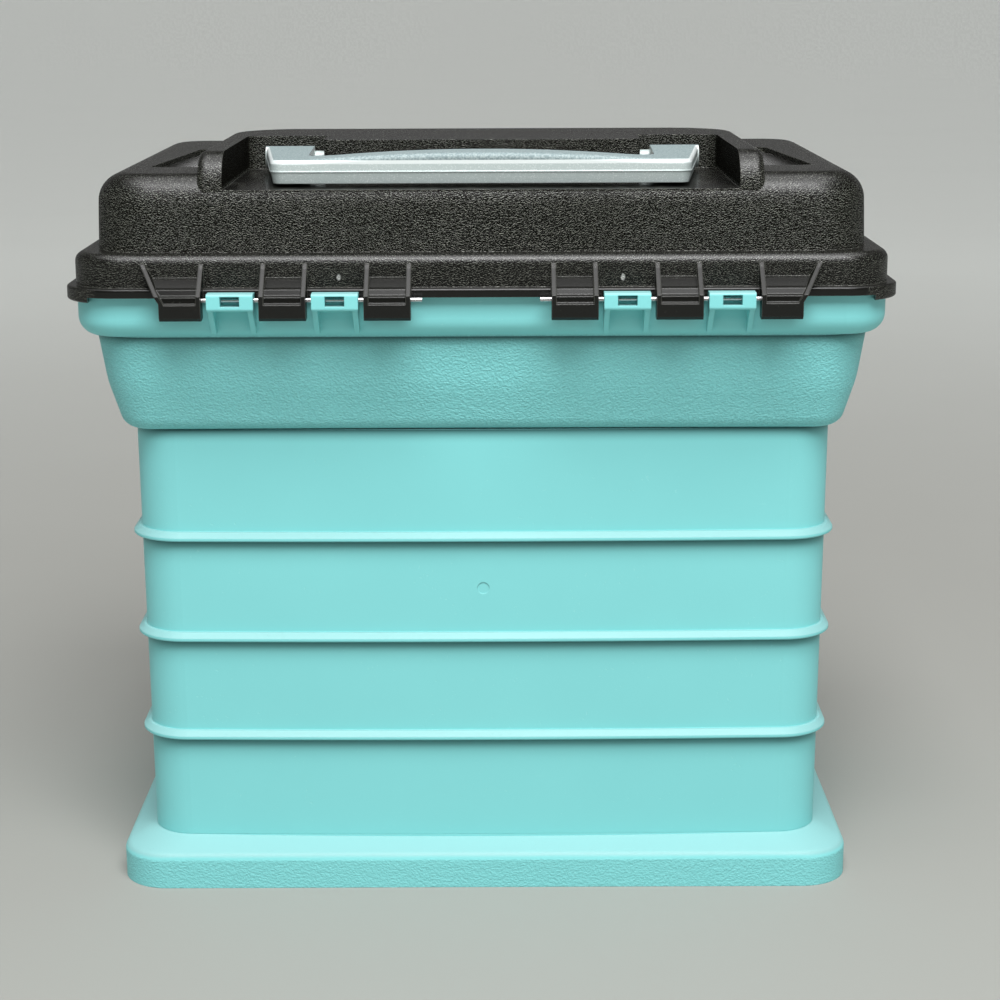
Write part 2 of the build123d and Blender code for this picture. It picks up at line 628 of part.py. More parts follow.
def lid():
    """The lid shell with its hinge lugs."""
    lip = slab(LIP_W, LIP_R, LIP_BOTTOM_Z, LIP_TOP_Z)
    lip = fillet(top_edges(lip) + bottom_edges(lip), LIP_ROUND)
    band = fillet(top_edges(slab(BAND_W, BAND_R, LIP_TOP_Z - 1, BAND_TOP_Z)), BAND_ROUND)
    dome = slab(DOME_W, DOME_R, BAND_TOP_Z - 2, PLATEAU_Z, taper=DOME_TAPER)
    dome = fillet(top_edges(dome), DOME_ROUND)
    body = lip + band + dome + deck(0)
    body -= recess_block(0)
    body -= [pocket(-1), pocket(1)]

    rim_room = RIM_W + 2 * LID_SIDE_GAP
    inside = slab(rim_room, RIM_R + LID_SIDE_GAP, LIP_BOTTOM_Z - 1, RIM_TOP_Z + LID_SEAT_GAP)
    inside += slab(BAND_W - 2 * WALL, BAND_R - WALL, LIP_BOTTOM_Z, BAND_TOP_Z - WALL)
    dome_inside_z = PLATEAU_Z - POCKET_DEPTH - WALL
    dome_foot = BAND_TOP_Z - 2 * WALL
    dome_inside = slab(DOME_W - 2 * WALL, DOME_R - WALL, dome_foot, dome_inside_z, taper=DOME_TAPER)
    inside += fillet(top_edges(dome_inside), DOME_ROUND - WALL)
    inside += deck(WALL)
    inside -= recess_block(WALL)
    body -= inside

    back_cut = block(-LIP_BACK_CUT_X, LIP_BACK_CUT_X, 0, LIP_W, LIP_BOTTOM_Z - 1, LIP_BACK_BOTTOM_Z)
    body -= back_cut
    body += [lug(x, side) for side in (-1, 1) for x in LUG_XS]
    axle_reach = BOSS_W / 2 + 1
    return body - rod(-axle_reach, axle_reach, HANDLE_AXIS_Y, HANDLE_AXIS_Z, PIVOT_R + PIVOT_GAP)


def hinge_wire(side):
    x0, x1 = sorted((side * WIRE_END_X, side * WIRE_OUTER_X))
    return rod(x0, x1, HINGE_Y, HINGE_Z, WIRE_R)


def carry_handle():
    """The folding handle, lying flat in its recess: upright above its parting seam and drawn in below it."""
    grip_y = HANDLE_AXIS_Y + HANDLE_REACH
    half_p = HANDLE_PIVOT_W / 2
    half_g = HANDLE_GRIP_W / 2
    inner_p = half_p - ARM_W
    inner_g = inner_p - ARM_LEAN
    corners = [(-half_p, HANDLE_AXIS_Y), (half_p, HANDLE_AXIS_Y), (half_g, grip_y), (-half_g, grip_y)]
    outline = make_face(Polyline(*corners, close=True))
    outline = fillet(outline.vertices().group_by(Axis.Y)[-1], HANDLE_CORNER_R)

    back_y = HANDLE_AXIS_Y - HANDLE_BLEND
    inner_y = grip_y - GRIP_END_D
    edge = [Line((-inner_p, back_y), (inner_p, back_y)), Line((inner_p, back_y), (inner_g, inner_y))]
    edge += [ThreePointArc((inner_g, inner_y), (0, grip_y - GRIP_MID_D), (-inner_g, inner_y))]
    edge += [Line((-inner_g, inner_y), (-inner_p, back_y))]
    hand_room = make_face(edge)
    hand_room = fillet(hand_room.vertices().group_by(Axis.Y)[-1], HANDLE_INNER_R)

    top = HANDLE_BOTTOM_Z + HANDLE_T
    wide = half_p + 1
    profile = [Line((-wide, HANDLE_AXIS_Z), (wide, HANDLE_AXIS_Z)), Line((wide, HANDLE_AXIS_Z), (wide, top))]
    profile += [Line((wide, top), (inner_g, top))]
    profile += [ThreePointArc((inner_g, top), (0, top + GRIP_CROWN), (-inner_g, top))]
    profile += [Line((-inner_g, top), (-wide, top)), Line((-wide, top), (-wide, HANDLE_AXIS_Z))]
    crowned = extrude(Plane.XZ.offset(-grip_y - 1) * make_face(profile), 2 * HANDLE_REACH)
    upper = extrude(Plane.XY.offset(HANDLE_AXIS_Z) * outline, HANDLE_T) & crowned
    upper = fillet(upper.edges().group_by(Axis.Y)[-1].sort_by(Axis.Z)[-1], HANDLE_ROUND)
    middle = Plane.XY.offset(HANDLE_AXIS_Z) * outline
    lower = extrude(middle, HANDLE_T / 2, dir=(0, 0, -1), taper=HANDLE_DRAFT)
    seam_low = HANDLE_AXIS_Z - HANDLE_SEAM_H / 2
    seam = extrude(Plane.XY.offset(seam_low) * offset(outline, HANDLE_SEAM_OUT), HANDLE_SEAM_H)
    body = upper + lower + seam
    body -= extrude(Plane.XY.offset(HANDLE_BOTTOM_Z - 1) * hand_room, HANDLE_T + GRIP_CROWN + 2)
    stub_end = BOSS_W / 2 - WALL - PIVOT_END_GAP
    for side in (-1, 1):
        x0, x1 = sorted((side * inner_p, side * half_p))
        body += rod(x0, x1, HANDLE_AXIS_Y, HANDLE_AXIS_Z, HANDLE_T / 2)
        s0, s1 = sorted((side * stub_end, side * (inner_p + 1)))
        body += rod(s0, s1, HANDLE_AXIS_Y, HANDLE_AXIS_Z, PIVOT_R)
    return body


def lid_latch(side):
    """A lid latch as it hangs, unlatched: its hook faces forwards and its tail back."""
    y = LATCH_PIVOT_Y
    z = LATCH_PIVOT_Z
    x0 = side * LATCH_X - LATCH_W / 2
    x1 = side * LATCH_X + LATCH_W / 2
    # Shut, the plate stands this far in front of the lid's lip. Hanging, the same face looks forwards.
    face = y - LATCH_PIVOT_OUT + LATCH_FACE_GAP
    reach = face - (LIP_W - BAND_W) / 2
    back = face + LATCH_T
    hook_z = z - (LIP_TOP_Z + LATCH_HOOK_GAP - z)
    end = hook_z - LATCH_HOOK_H
    tail_y = back + LATCH_TAIL_T
    tail_z = end - LATCH_TAIL
    outline = [(face, z), (face, hook_z), (reach, hook_z), (reach + LATCH_HOOK_SLOPE, end)]
    outline += [(face, end - LATCH_HOOK_ROOT), (face, tail_z + LATCH_TAIL_EDGE)]
    outline += [(tail_y, tail_z - LATCH_TAIL_EDGE)]
    outline += [(tail_y, tail_z + LATCH_TAIL_EDGE), (back, end - LATCH_TAIL_EDGE), (back, z)]
    body = side_prism(outline, x0, x1) + rod(x0, x1, y, z, LATCH_BARREL_R)
    return body - rod(x0 - 1, x1 + 1, y, z, LATCH_PIN_R + WIRE_GAP)


def lid_latch_pin(side):
    reach = LATCH_W / 2 + EAR_GAP + LATCH_EAR_T
    x = side * LATCH_X
    return rod(x - reach, x + reach, LATCH_PIVOT_Y, LATCH_PIVOT_Z, LATCH_PIN_R - NARROW_GAP)


def door_to_rest(piece):
    """Fold a piece of the shut door down to the rest pose, in which the door lies open."""
    return piece.rotate(Axis((0, DOOR_AXIS_Y, DOOR_AXIS_Z), (1, 0, 0)), 90)


def upright(width, height, radius, middle_z, back_y, thickness):
    """An upright rounded plate whose back is at back_y and which grows towards -Y."""
    face = Plane.XZ.offset(-back_y) * Pos(0, middle_z) * RectangleRounded(width, height, radius)
    return extrude(face, thickness)


def front_door():
    """The door: a panel with a skirt, hinge barrels and guides for its bolts."""
    foot = DOOR_AXIS_Z + DOOR_FOOT
    height = DOOR_TOP_Z - foot
    middle = (foot + DOOR_TOP_Z) / 2
    body = upright(DOOR_W, height, DOOR_R, middle, DOOR_BACK_Y, DOOR_SKIRT)
    body = fillet(body.faces().sort_by(Axis.Y)[0].edges(), DOOR_ROUND)
    room_w = DOOR_W - 2 * DOOR_T
    room_h = height - 2 * DOOR_T
    body -= upright(room_w, room_h, DOOR_R - DOOR_T, middle, DOOR_BACK_Y + 1, DOOR_SKIRT - DOOR_T + 1)
    for centre in (-DOOR_HINGE_X, DOOR_HINGE_X):
        x0 = centre - DOOR_BARREL_W / 2
        x1 = centre + DOOR_BARREL_W / 2
        tab_y = DOOR_AXIS_Y + DOOR_BARREL_R - DOOR_AXIS_IN
        body += rod(x0, x1, DOOR_AXIS_Y, DOOR_AXIS_Z, DOOR_BARREL_R)
        body += block(x0, x1, DOOR_FACE_Y + DOOR_STOP_GAP, tab_y, DOOR_AXIS_Z, foot + DOOR_T)
        body -= rod(x0 - 1, x1 + 1, DOOR_AXIS_Y, DOOR_AXIS_Z, DOOR_PIN_R + WIRE_GAP)
    for centre in (-BOLT_X, BOLT_X):
        for side in (-1, 1):
            inner = centre + side * (BOLT_W / 2 + BOLT_GAP)
            outer = inner + side * GUIDE_T
            lip = inner - side * GUIDE_LIP
            bolt_y = DOOR_FACE_Y - 2 * BOLT_GAP - BOLT_T
            low = DOOR_TOP_Z - BOLT_LENGTH + BOLT_TRAVEL
            high = DOOR_TOP_Z - GUIDE_TOP_GAP
            body += block(inner, outer, bolt_y - GUIDE_LIP, DOOR_FACE_Y + 1, low, high)
            body += block(lip, outer, bolt_y - GUIDE_LIP, bolt_y, low, high)
    return door_to_rest(body)


def door_hinge_pins():
    """Both pins of the door's hinge, as one group."""
    reach = DOOR_BARREL_W / 2 + DOOR_BARREL_GAP + DOOR_EAR_T
    pins = []
    for centre in (-DOOR_HINGE_X, DOOR_HINGE_X):
        pins.append(rod(centre - reach, centre + reach, DOOR_AXIS_Y, DOOR_AXIS_Z, DOOR_PIN_R - NARROW_GAP))
    return Compound(children=pins)


def door_bolt(side):
    """A flat bolt that slides on the door's face, with grip bars across it."""
    back = DOOR_FACE_Y - BOLT_GAP
    front = back - BOLT_T
    half = BOLT_W / 2
    x = side * BOLT_X
    low = DOOR_TOP_Z - BOLT_LENGTH
    body = block(x - half, x + half, front, back, low, DOOR_TOP_Z)
    body = chamfer(body.edges().filter_by(Axis.Y).group_by(Axis.Z)[-1], BOLT_NOSE)
    grip_half = half - GUIDE_LIP - BOLT_GAP
    for step in range(BOLT_GRIPS):
        z = low + BOLT_NOSE + step * BOLT_GRIP_PITCH
        grip = block(x - grip_half, x + grip_half, front - BOLT_GRIP_H, front + SINK, z, z + BOLT_GRIP_H)
        body += fillet(grip.edges().filter_by(Axis.X).group_by(Axis.Y)[0], BOLT_GRIP_R)
    return door_to_rest(body)


def row_walls():
    """The y of the middle of each fixed wall inside a compartment tray."""
    depth = tray_depth() - 2 * BOX_WALL
    return [-depth / 2 + depth * (row + 1) / ROWS for row in range(ROWS - 1)]


def tray_width():
    return BOX_W - 2 * COVER_SKIRT_T - 2 * COVER_GAP


def tray_depth():
    return BOX_D - 2 * COVER_SKIRT_T - 2 * COVER_GAP


def slot_xs():
    """The x of every divider slot across a tray."""
    width = tray_width() - 2 * BOX_WALL
    return [-width / 2 + width * (slot + 1) / (SLOT_COUNT + 1) for slot in range(SLOT_COUNT)]


def snap_places():
    """The y and z of a box latch's pivot, from the middle of the box's underside."""
    return -BOX_D / 2 - SNAP_PIVOT_OUT, BOX_H - SNAP_PIVOT_DROP


def catch_top_z():
    nose_z = snap_places()[1] - SNAP_LENGTH + SNAP_NOSE_H + SNAP_NOSE_TIP
    return nose_z + CATCH_GAP + CATCH_H


def tray():
    """The open tray of one compartment box, about the middle of its underside."""
    width = tray_width()
    depth = tray_depth()
    height = BOX_H - BOX_WALL - COVER_GAP
    body = extrude(RectangleRounded(width, depth, BOX_R), height)
    body = fillet(bottom_edges(body), BOX_FOOT_R)
    room = RectangleRounded(width - 2 * BOX_WALL, depth - 2 * BOX_WALL, BOX_R - BOX_WALL)
    body -= extrude(Plane.XY.offset(BOX_WALL) * room, height)
    x = width / 2 - BOX_WALL / 2
    pieces = []
    for y in row_walls():
        pieces.append(block(-x, x, y - ROW_WALL / 2, y + ROW_WALL / 2, BOX_WALL / 2, BOX_WALL + ROW_WALL_H))
    edges = [-depth / 2 + BOX_WALL, depth / 2 - BOX_WALL]
    faces = [(edges[0], 1), (edges[1], -1)]
    faces += [(y + side * ROW_WALL / 2, side) for y in row_walls() for side in (-1, 1)]
    for slot in slot_xs():
        for face_y, out in faces:
            for side in (-1, 1):
                near = slot + side * SLOT_GAP / 2
                far = near + side * SLOT_RIB_T
                y0, y1 = face_y - out * SINK, face_y + out * SLOT_RIB_OUT
                pieces.append(block(near, far, y0, y1, BOX_WALL / 2, BOX_WALL + SLOT_RIB_H))
    top = catch_top_z()
    front = -BOX_D / 2 - CATCH_SHY
    for side in (-1, 1):
        half = SNAP_W / 2 - CATCH_SIDE_SHY
        x0 = side * SNAP_X - half
        x1 = side * SNAP_X + half
        pieces.append(block(x0, x1, front, -depth / 2 + SINK, top - CATCH_H, top))
    return body.fuse(*pieces)


def cover():
    """The lid of one compartment box, with its skirt and the ears of its latches."""
    outline = Plane.XY.offset(BOX_H - COVER_SKIRT_H) * RectangleRounded(BOX_W, BOX_D, BOX_R + 1)
    body = fillet(top_edges(extrude(outline, COVER_SKIRT_H)), COVER_EDGE_R)
    room_w = tray_width() + 2 * COVER_GAP
    room_d = tray_depth() + 2 * COVER_GAP
    room = Plane.XY.offset(BOX_H - COVER_SKIRT_H - 1) * RectangleRounded(room_w, room_d, BOX_R)
    body -= extrude(room, COVER_SKIRT_H - BOX_WALL + 1)
    y, z = snap_places()
    for centre in (-SNAP_X, SNAP_X):
        for side in (-1, 1):
            near = centre + side * (SNAP_W / 2 + SNAP_SIDE_GAP)
            x0, x1 = sorted((near, near + side * SNAP_EAR_T))
            r = SNAP_BARREL_R
            ear = rod(x0, x1, y, z, r) + block(x0, x1, y, -BOX_D / 2 + 1, z - r, z + r)
            body += ear
            body -= rod(x0 - 1, x1 + 1, y, z, SNAP_PIN_R + WIRE_GAP)
    return body


def dividers():
    """The loose dividers of one box: one in the middle slot of each row."""
    walls = row_walls()
    depth = tray_depth()
    lows = [-depth / 2 + BOX_WALL] + [y + ROW_WALL / 2 for y in walls]
    highs = [y - ROW_WALL / 2 for y in walls] + [depth / 2 - BOX_WALL]
    x = slot_xs()[SLOT_COUNT // 2]
    plates = []
    for low, high in zip(lows, highs):
        z = BOX_WALL + DIVIDER_GAP
        half = DIVIDER_T / 2
        plate = block(x - half, x + half, low + DIVIDER_GAP, high - DIVIDER_GAP, z, z + DIVIDER_H)
        plates.append(chamfer(plate.edges().filter_by(Axis.X).group_by(Axis.Z)[-1], DIVIDER_CORNER))
    return plates


def box_latch(side):
    """A snap latch of a compartment box, shut, with its hook under the tray's catch."""
    y, z = snap_places()
    x0 = side * SNAP_X - SNAP_W / 2
    x1 = side * SNAP_X + SNAP_W / 2
    back = -BOX_D / 2 - CATCH_SHY - SNAP_BACK_GAP
    front = back - SNAP_T
    tab = front - SNAP_TAB_OUT
    foot = z - SNAP_LENGTH
    nose_z = catch_top_z() - CATCH_H - CATCH_GAP
    nose_y = back + SNAP_NOSE
    outline = [(back, z), (back, nose_z), (nose_y, nose_z), (nose_y, nose_z - SNAP_NOSE_TIP)]
    outline += [(back, nose_z - SNAP_NOSE_H), (back, foot), (tab, foot - SNAP_TAB_DROP)]
    outline += [(tab, foot + SNAP_TAB_TOP), (front, foot + SNAP_TAB_ROOT), (front, z)]
    body = side_prism(outline, x0, x1) + rod(x0, x1, y, z, SNAP_BARREL_R)
    ear = SNAP_SIDE_GAP + SNAP_EAR_T
    return body + rod(x0 - ear, x1 + ear, y, z, SNAP_PIN_R)


def place_box(piece, tier):
    return Pos(0, BOX_Y, rail_z(tier) + BOX_SEAT_GAP) * piece


def build():
    """Every node by name."""
    nodes = {
        "housing_plinth": housing_plinth(),
        "housing_rack": housing_rack(),
        "housing_tub": housing_tub(),
        "lid": lid(),
        "carry_handle": carry_handle(),
        "front_door": front_door(),
        "door_hinge_pins": door_hinge_pins(),
    }
    for word, side in (("left", -1), ("right", 1)):
        nodes["hinge_wire_" + word] = hinge_wire(side)
        nodes["lid_latch_" + word] = lid_latch(side)
        nodes["lid_latch_pin_" + word] = lid_latch_pin(side)
        nodes["door_bolt_" + word] = door_bolt(side)
    box_tray = tray()
    box_cover = cover()
    box_dividers = dividers()
    latches = {word: box_latch(side) for word, side in (("left", -1), ("right", 1))}
    for tier in range(TIERS):
        number = str(tier + 1)
        nodes["box_tray_" + number] = place_box(box_tray, tier)
        nodes["box_cover_" + number] = place_box(box_cover, tier)
        plates = [place_box(plate, tier) for plate in box_dividers]
        nodes["box_dividers_" + number] = Compound(children=plates)
        for word, latch in latches.items():
            nodes["box_latch_" + word + "_" + number] = place_box(latch, tier)
    return nodes


os.makedirs("parts", exist_ok=True)
for node, shape in build().items():
    export_step(shape, os.path.join("parts", node + ".step"))
    print(node, "solids", len(shape.solids()), "volume", round(shape.volume))
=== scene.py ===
import math

import bpy
from mathutils import Euler, Matrix, Vector

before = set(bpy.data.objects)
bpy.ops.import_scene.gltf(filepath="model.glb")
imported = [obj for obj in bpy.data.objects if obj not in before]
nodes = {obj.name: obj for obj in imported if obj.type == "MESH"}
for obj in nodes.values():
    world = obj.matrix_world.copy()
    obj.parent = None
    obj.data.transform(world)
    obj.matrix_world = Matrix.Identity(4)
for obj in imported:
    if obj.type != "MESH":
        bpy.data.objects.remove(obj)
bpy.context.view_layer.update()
print("frame loaded with", len(nodes), "nodes")


# Shader maths: a Wire is one output of a node, and expressions on wires add Math nodes.

class Wire:
    def __init__(self, tree, socket):
        self.tree = tree
        self.socket = socket

    # Adds any node: its settings first, then the values or wires of its inputs, and gives back one output.
    def add(self, kind, settings=None, values=None, out=0):
        made = self.tree.nodes.new(kind)
        for key, value in (settings or {}).items():
            setattr(made, key, value)
        for key, value in (values or {}).items():
            if isinstance(value, Wire):
                self.tree.links.new(value.socket, made.inputs[key])
            else:
                made.inputs[key].default_value = value
        return Wire(self.tree, made.outputs[out]) if made.outputs else made

    def math(self, operation, first, second=None):
        values = {0: first}
        if second is not None:
            values[1] = second
        return self.add("ShaderNodeMath", {"operation": operation}, values)

    def __add__(self, other):
        return self.math("ADD", self, other)

    def __radd__(self, other):
        return self.math("ADD", other, self)

    def __sub__(self, other):
        return self.math("SUBTRACT", self, other)

    def __rsub__(self, other):
        return self.math("SUBTRACT", other, self)

    def __mul__(self, other):
        return self.math("MULTIPLY", self, other)

    def __truediv__(self, other):
        return self.math("DIVIDE", self, other)

    def __pow__(self, other):
        return self.math("POWER", self, other)

    def __abs__(self):
        return self.math("ABSOLUTE", self)

    def atMost(self, other):
        return self.math("MINIMUM", self, other)

    def atLeast(self, other):
        return self.math("MAXIMUM", self, other)

    # 0 below low, 1 above high, smooth between them
    def ramp(self, low, high):
        settings = {"interpolation_type": "SMOOTHSTEP"}
        values = {"Value": self, "From Min": low, "From Max": high, "To Min": 0.0, "To Max": 1.0}
        return self.add("ShaderNodeMapRange", settings, values)

    # 1 below low, 0 above high, smooth between them
    def fall(self, low, high):
        return 1 - self.ramp(low, high)

    # The two colours mixed by this wire, 0 for the first and 1 for the second.
    def blendOf(self, first, second):
        return self.add("ShaderNodeMix", {"data_type": "RGBA"}, {0: self, 6: first, 7: second}, out=2)

    # The x, y and z of a vector.
    def parts(self):
        split = self.add("ShaderNodeSeparateXYZ", None, {0: self})
        return [Wire(self.tree, output) for output in split.socket.node.outputs]


# What all finishes share: pale edges (wear, and on the black a painted highlight), faces that look outward,
# the flat black of painted shade in deep creases, leather grain.

finishSettings = {
    "bevelSamples": 6,
    "edgeRange": (0.02, 0.25),
    "outwardRange": (0.0, 0.01),
    # painted shade: the flat near-black that shows in deep creases and in darkened hollows
    "shadeBlack": (0.004, 0.004, 0.003, 1.0),
    "lineDetail": 3.0,
    "leatherNoise": (2.0, 0.5, 0.4),       # detail, roughness and bend
    "leatherLift": 0.35,             # in pebble sizes
    "leatherTurn": 0.06,             # from the middle to where the full lean is reached
    "pebbleRange": (0.30, 0.70),
}


class Finish:
    # A material being made, with its object coordinates and the direction that its surface faces.
    def __init__(self, name):
        self.material = bpy.data.materials.new(name)
        self.material.use_nodes = True
        self.material.node_tree.nodes.clear()
        self.start = Wire(self.material.node_tree, None)
        self.where = self.start.add("ShaderNodeTexCoord", out="Object")
        self.x, self.y, self.z = self.where.parts()
        self.outX, self.outY, self.outZ = self.start.add("ShaderNodeTexCoord", out="Normal").parts()

    def noise(self, scale, detail, rough=0.5, bend=0.0, place=None):
        values = {"Vector": place or self.where, "Scale": scale, "Detail": detail, "Roughness": rough}
        values["Distortion"] = bend
        return self.start.add("ShaderNodeTexNoise", None, values)

    # Noise in coordinates stretched by three factors, for scuffs and lines that run along one axis.
    def drawnOut(self, stretch, rough, bend):
        place = self.start.add("ShaderNodeMapping", None, {"Vector": self.where, "Scale": stretch})
        return self.noise(1.0, finishSettings["lineDetail"], rough, bend, place)

    # Object coordinates for a grain whose pebbles are drawn out and lean: up to the left in the picture's
    # left half, up to the right in its right half. Heights count from mid, and lift raises the pattern.
    def leaning(self, s, mid, lift):
        tilt = (self.x / finishSettings["leatherTurn"]).atMost(1.0).atLeast(-1.0) * s["grainLean"]
        rise = self.z - mid + lift
        run = (self.x + rise * tilt) * s["grainAlong"]
        climb = (rise - self.x * tilt) * s["grainAcross"]
        return self.start.add("ShaderNodeCombineXYZ", None, {0: run, 1: self.y, 2: climb})

    # Moulded leather grain: its height, 0 in a crease and 1 on a pebble, and how far its slope faces up.
    def leather(self, s, mid):
        shared = finishSettings
        heights = []
        for lift in (0.0, s["grainSize"] * shared["leatherLift"]):
            place = self.leaning(s, mid, lift)
            heights.append(self.noise(1.0 / s["grainSize"], *shared["leatherNoise"], place))
        height, upper = heights
        return height.ramp(*shared["pebbleRange"]), height - upper

    # 1 on faces that look away from the upright axis through the origin, 0 on the inner faces.
    def outward(self):
        away = self.outX * self.x + self.outY * self.y
        return away.ramp(*finishSettings["outwardRange"])

    # The surface direction with edges rounded off by this radius, as a moulded edge is.
    def softEdges(self, radius):
        settings = {"samples": finishSettings["bevelSamples"]}
        return self.start.add("ShaderNodeBevel", settings, {"Radius": radius})

    # 1 along outer edges and 0 on flats, from how far the rounded direction leaves the true one.
    def edgeMask(self, soft):
        true = self.start.add("ShaderNodeNewGeometry", out="True Normal")
        settings = {"operation": "DOT_PRODUCT"}
        same = self.start.add("ShaderNodeVectorMath", settings, {0: soft, 1: true}, out="Value")
        return (1 - same).ramp(*finishSettings["edgeRange"])

    def bump(self, height, distance, normal=None):
        values = {"Height": height, "Distance": distance, "Strength": 1.0}
        if normal is not None:
            values["Normal"] = normal
        return self.start.add("ShaderNodeBump", None, values)

    # Ends the material. Its first argument is painted shade: where it is 1, a flat near-black without gloss
    # shows, as in the shade of a deep crease.
    def done(self, paintedShade=0.0, **values):
        named = {key.replace("_", " "): value for key, value in values.items()}
        shader = self.start.add("ShaderNodeBsdfPrincipled", None, named)
        if isinstance(paintedShade, Wire):
            flat = self.start.add("ShaderNodeBsdfDiffuse", None, {"Color": finishSettings["shadeBlack"]})
            shader = self.start.add("ShaderNodeMixShader", None, {0: paintedShade, 1: shader, 2: flat})
        self.start.add("ShaderNodeOutputMaterial", None, {"Surface": shader})
        return self.material


def dressed(names, material):
    for name in names:
        mesh = nodes[name].data
        mesh.materials.clear()
        mesh.materials.append(material)


# Teal moulding: the housing and the door. The flared tub and the plinth's upright face are grained.

tealSettings = {
    "colour": (0.240, 0.690, 0.694, 1.0),
    "deep": (0.230, 0.668, 0.673, 1.0),
    "wornAndHighlight": (0.350, 0.780, 0.775, 1.0),
    "paintedTopShade": (0.262, 0.540, 0.542, 1.0),
    "pebbleShade": (0.150, 0.455, 0.460, 1.0),
    "shadow": (0.020, 0.105, 0.107, 1.0),
    "edgeRadius": 0.0006,
    "edgeShare": 0.25,
    "cloudNoise": (9.0, 3.0),        # scale and detail
    "cloudRange": (0.3, 0.7),
    "speckNoise": (700.0, 1.0),
    "speckRange": (0.70, 0.76),
    "speckPatchNoise": (60.0, 2.0),
    "speckPatchRange": (0.48, 0.60),
    "speckShare": 0.35,
    "speckDepth": 0.2,
    "scuffLines": ((60, 60, 900), 0.7, 0.4),     # stretch, roughness and bend
    "scuffRange": (0.66, 0.76),
    "scuffPatchNoise": (14.0, 2.0),
    "scuffPatchRange": (0.5, 0.62),
    "scuffShare": 0.22,
    "dustAndTopShadeRange": (0.30, 0.70),
    "peelNoise": (420.0, 2.0),
    "peelDepth": 0.035,
    "roughness": 0.48,
    "cloudRoughness": 0.06,
    "scuffRoughness": 0.12,
    "grainRoughness": 0.10,
    "pebblePolish": 0.08,
    "tubLow": 0.2185,
    "tubHigh": 0.2635,
    "tubMid": 0.24,
    "plinthHigh": 0.0135,
    "plinthMid": 0.007,
    "plinthShare": 0.55,             # of the grain's strength on the tub
    "zoneSplit": 0.1,                # any height between the plinth and the tub
    "zoneFade": 0.001,
    "grainSize": 0.00100,
    "grainAlong": 0.85,
    "grainAcross": 1.15,
    "grainLean": 0.18,
    "grainDepth": 0.00026,
    "pebbleShadeRange": (0.10, -0.14),
    "pebbleShadeShare": 0.34,
    "lightRange": (0.04, 0.18),
    "lightShare": 0.30,
    "ledges": [0.0697, 0.1175, 0.1653, 0.2173, 0.2616],
    "ledgeFade": 0.0006,
    "ledgeReach": 0.0065,
    "refraction": 1.42,
}


# Adds the leather grain of the tub and the plinth's edge, with painted shade and painted highlight on its
# pebbles, and a painted shadow right under each ledge.
def grainedTeal(f, colour, rough, height):
    s = tealSettings
    fade = s["zoneFade"]
    tub = f.z.ramp(s["tubLow"], s["tubLow"] + fade) * f.z.fall(s["tubHigh"] - fade, s["tubHigh"])
    plinth = f.z.fall(s["plinthHigh"], s["plinthHigh"] + fade)
    isTub = f.z.ramp(s["zoneSplit"], s["zoneSplit"] + fade)
    zone = (tub + plinth) * f.outward() * (isTub * (1 - s["plinthShare"]) + s["plinthShare"])
    mid = isTub * (s["tubMid"] - s["plinthMid"]) + s["plinthMid"]
    grain, slope = f.leather(s, mid)
    height = height + zone * grain
    rough = rough + zone * s["grainRoughness"] - zone * grain * s["pebblePolish"]
    # painted shade on the pebbles' lower slopes and a painted highlight on their upper slopes, as a light
    # from above gives them
    shade = zone * slope.ramp(*s["pebbleShadeRange"]) * s["pebbleShadeShare"]
    colour = shade.blendOf(colour, s["pebbleShade"])
    light = zone * slope.ramp(*s["lightRange"]) * s["lightShare"]
    colour = light.blendOf(colour, s["wornAndHighlight"])
    # painted shadow: a dark band that fades down from just under each ledge
    ledgeShadow = 0.0
    for ledge in s["ledges"]:
        below = ledge - f.z
        left = (1 - (below / s["ledgeReach"]).atMost(1.0).atLeast(0.0)) ** 2.0
        ledgeShadow = below.ramp(-s["ledgeFade"], 0.0) * left + ledgeShadow
    colour = (ledgeShadow * f.outward()).atMost(1.0).blendOf(colour, s["shadow"])
    return colour, rough, height


def tealMoulding(name, grained):
    s = tealSettings
    f = Finish(name)
    soft = f.softEdges(s["edgeRadius"])
    edges = f.edgeMask(soft)
    clouds = f.noise(*s["cloudNoise"])
    specks = f.noise(*s["speckNoise"]).ramp(*s["speckRange"])
    specks = specks * f.noise(*s["speckPatchNoise"]).ramp(*s["speckPatchRange"])
    scuffs = f.drawnOut(*s["scuffLines"]).ramp(*s["scuffRange"])
    scuffs = scuffs * f.noise(*s["scuffPatchNoise"]).ramp(*s["scuffPatchRange"])
    colour = clouds.ramp(*s["cloudRange"]).blendOf(s["deep"], s["colour"])
    marks = (specks * s["speckShare"] + scuffs * s["scuffShare"] + edges * s["edgeShare"]).atMost(1.0)
    colour = marks.blendOf(colour, s["wornAndHighlight"])
    # painted shade: faces that look up take a little duller colour, which keeps their lit tops from clipping
    colour = f.outZ.ramp(*s["dustAndTopShadeRange"]).blendOf(colour, s["paintedTopShade"])
    height = f.noise(*s["peelNoise"]) * s["peelDepth"] - specks * s["speckDepth"]
    rough = s["roughness"] + clouds * s["cloudRoughness"] + scuffs * s["scuffRoughness"]
    if grained:
        colour, rough, height = grainedTeal(f, colour, rough, height)
    normal = f.bump(height, s["grainDepth"], soft)
    return f.done(Base_Color=colour, Roughness=rough, Normal=normal, IOR=s["refraction"])


dressed(["housing_plinth", "housing_rack", "housing_tub"], tealMoulding("tealHousing", True))
dressed(["front_door"], tealMoulding("tealDoor", False))
print("teal moulding done")


# Black moulding: the lid, its latches and the door's bolts. The lid's sides and deck are grained; its
# end pockets, its recess, its lugs and its inside are smooth, and so are the latches and bolts.

